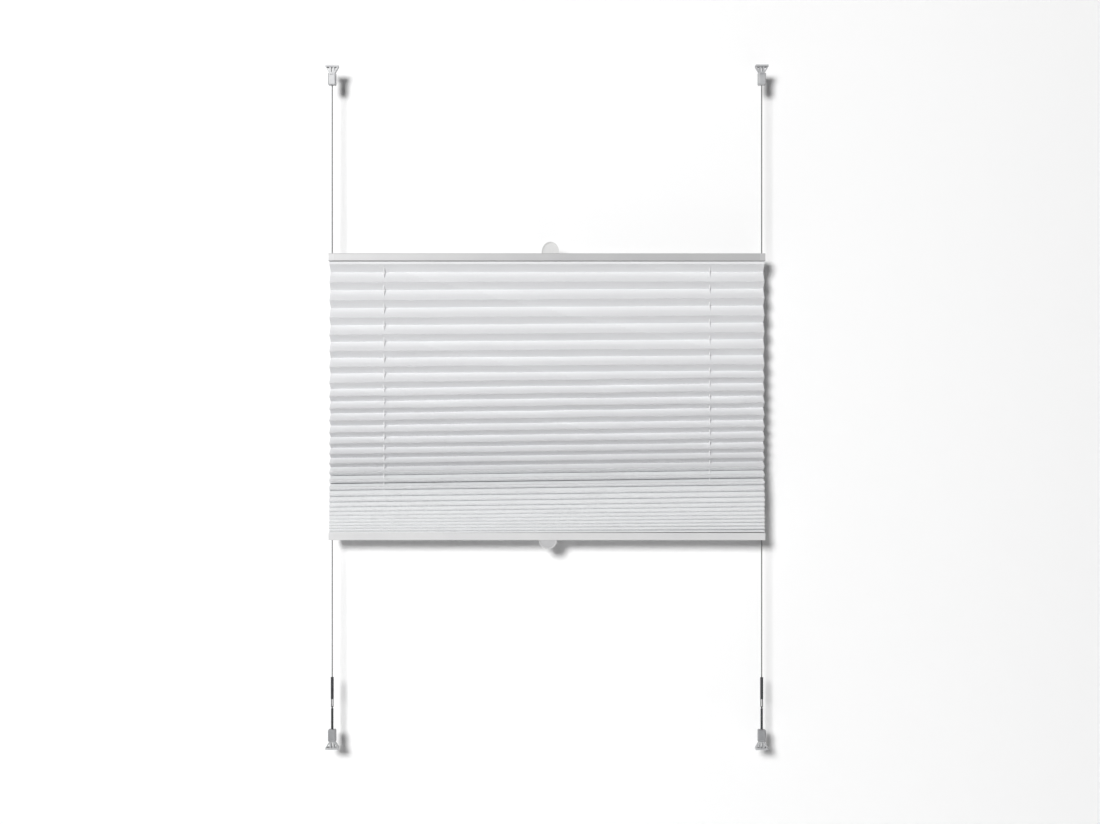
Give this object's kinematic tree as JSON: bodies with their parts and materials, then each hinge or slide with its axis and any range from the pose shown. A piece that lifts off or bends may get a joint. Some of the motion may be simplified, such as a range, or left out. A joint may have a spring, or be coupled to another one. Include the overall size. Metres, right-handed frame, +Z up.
{
  "type": "pleated blind",
  "caption": "Pleated window blind: a folded cloth between an upper and a lower rail that both slide on tensioned cords held by screwed shoes.",
  "frame": {"origin": "midway between the lower shoes, on the plane they are screwed to", "axes": "+X to the right, -Y out of the front towards the room, +Z up along the cords"},
  "size_m": [0.7114, 0.0226, 1.1],
  "materials": {
    "shoe_plastic": "semi-matt",
    "cord": "braided",
    "spring_steel": "bright drawn",
    "sleeve": "matt",
    "rail": "powder coated, satin",
    "cap_plastic": "satin",
    "handle_plastic": "satin",
    "inner_plastic": "matt",
    "cloth": "woven, matt"
  },
  "bodies": {
    "cord_frame": {"bottom_left_shoe_barrel": "shoe_plastic", "bottom_left_shoe_foot": "shoe_plastic", "bottom_right_shoe_barrel": "shoe_plastic", "bottom_right_shoe_foot": "shoe_plastic", "left_cord_knot": "cord", "left_cord_loop": "cord", "left_cord_sleeve": "sleeve", "left_fabric_cord": "cord", "left_lower_cord": "cord", "left_spring_anchor": "spring_steel", "left_tension_spring": "spring_steel", "left_upper_cord": "cord", "pleated_fabric": "cloth", "right_cord_knot": "cord", "right_cord_loop": "cord", "right_cord_sleeve": "sleeve", "right_fabric_cord": "cord", "right_lower_cord": "cord", "right_spring_anchor": "spring_steel", "right_tension_spring": "spring_steel", "right_upper_cord": "cord", "top_left_shoe_barrel": "shoe_plastic", "top_left_shoe_foot": "shoe_plastic", "top_right_shoe_barrel": "shoe_plastic", "top_right_shoe_foot": "shoe_plastic"},
    "top_rail_body": {"top_rail": "rail", "top_rail_fabric_strip": "inner_plastic", "top_rail_handle": "handle_plastic", "top_rail_left_cap": "cap_plastic", "top_rail_left_cord": "cord", "top_rail_left_guide": "inner_plastic", "top_rail_right_cap": "cap_plastic", "top_rail_right_cord": "cord", "top_rail_right_guide": "inner_plastic"},
    "bottom_rail_body": {"bottom_rail": "rail", "bottom_rail_fabric_strip": "inner_plastic", "bottom_rail_handle": "handle_plastic", "bottom_rail_left_cap": "cap_plastic", "bottom_rail_left_cord": "cord", "bottom_rail_left_guide": "inner_plastic", "bottom_rail_right_cap": "cap_plastic", "bottom_rail_right_cord": "cord", "bottom_rail_right_guide": "inner_plastic"}
  },
  "joints": [
    {"name": "top_rail_slide", "type": "slide", "parent": "cord_frame", "child": "top_rail_body", "axis": [0, 0, 1], "range_m": [-0.2, 0.27], "deforming": ["left_upper_cord", "right_upper_cord", "pleated_fabric", "left_fabric_cord", "right_fabric_cord"]},
    {"name": "bottom_rail_slide", "type": "slide", "parent": "cord_frame", "child": "bottom_rail_body", "axis": [0, 0, 1], "range_m": [-0.22, 0.06], "deforming": ["left_lower_cord", "right_lower_cord", "pleated_fabric", "left_fabric_cord", "right_fabric_cord"]}
  ]
}
